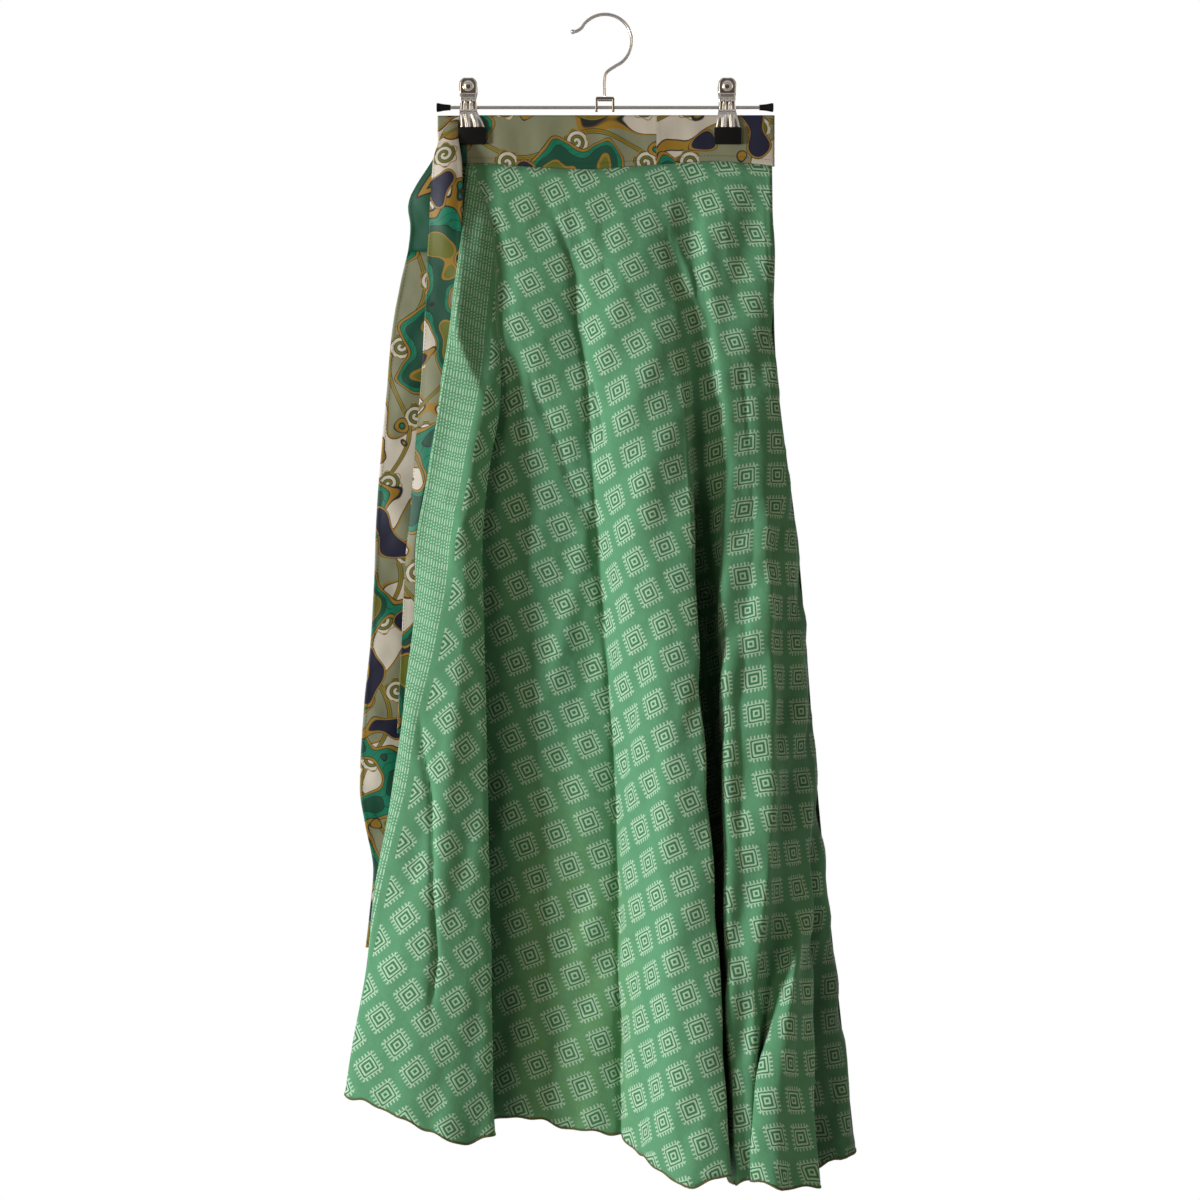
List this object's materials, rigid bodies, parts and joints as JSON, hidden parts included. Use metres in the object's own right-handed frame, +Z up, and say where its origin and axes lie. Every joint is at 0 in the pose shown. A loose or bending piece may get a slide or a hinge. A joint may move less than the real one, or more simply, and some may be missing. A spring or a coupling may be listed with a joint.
{
  "type": "wrap skirt on clip hanger",
  "caption": "Flared long wrap skirt of printed cloth with a folded waistband and hanging ties, held by the clips of a chrome hanger with a wire hook.",
  "frame": {"origin": "the seat inside the top of the hook, where a rail or nail bears", "axes": "+Z up from the skirt to the hook, front of the skirt faces -Y, +X to the right when the front is looked at"},
  "size_m": [0.4521, 0.1552, 1.0339],
  "materials": {
    "skirt_cloth": "soft green cloth with a pale printed diamond repeat and a dashed border",
    "band_cloth": null,
    "plain_green_cloth": "smooth dark green cloth",
    "chrome": "polished chrome plate",
    "black_rubber": "matt black rubber"
  },
  "bodies": {
    "root": {"front_panel": "skirt_cloth", "back_panel": "skirt_cloth", "underlap_panel": "skirt_cloth", "waistband": "band_cloth", "tie_front": "band_cloth", "tie_back_upper": "plain_green_cloth", "tie_back_lower": "band_cloth", "hook": "chrome", "yoke": "chrome", "rod": "chrome", "rod_cap_left": "black_rubber", "rod_cap_right": "black_rubber", "clip_left_plate_front": "chrome", "clip_left_plate_back": "chrome", "clip_left_pad_front": "black_rubber", "clip_left_pad_back": "black_rubber", "clip_left_rivet": "chrome", "clip_right_plate_front": "chrome", "clip_right_plate_back": "chrome", "clip_right_pad_front": "black_rubber", "clip_right_pad_back": "black_rubber", "clip_right_rivet": "chrome"}
  },
  "joints": []
}
